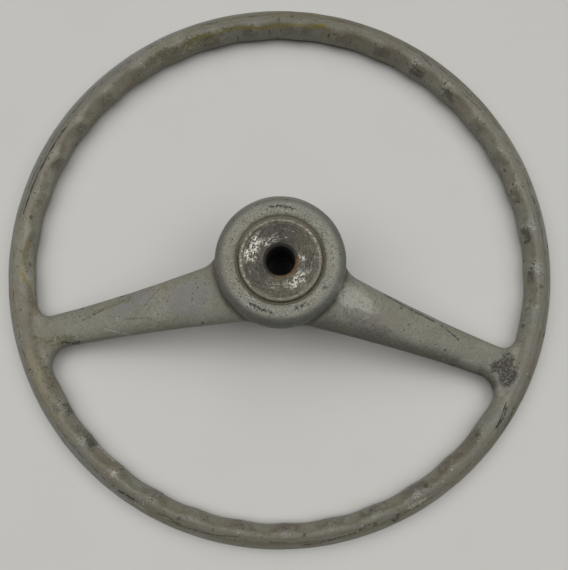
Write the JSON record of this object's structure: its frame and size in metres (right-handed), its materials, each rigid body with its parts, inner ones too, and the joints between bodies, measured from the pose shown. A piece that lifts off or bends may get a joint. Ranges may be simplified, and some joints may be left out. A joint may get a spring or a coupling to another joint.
{
  "type": "car steering wheel",
  "caption": "Car steering wheel moulded in one piece, with drooping spokes, finger grips round the rim and a turned metal boss in a deep round hub.",
  "frame": {"origin": "on the wheel's axis, level with the lowest line of the rim, on which the wheel lies with its front side down", "axes": "+Z along the wheel's axis towards the back of the hub, where the column shaft enters; +Y to the top of the wheel, away from the droop of the spokes; +X completes the right-handed set"},
  "size_m": [0.4, 0.4, 0.0694],
  "materials": {
    "moulding": "worn greenish grey paint, matt, with cracks and yellowish dirt",
    "boss_metal": "turned steel, dirty, with some rust at the bore",
    "cap": "plain greenish grey paint, matt"
  },
  "bodies": {
    "root": {"wheel_moulding": "moulding", "hub_boss": "boss_metal", "centre_cap": "cap"}
  },
  "joints": []
}
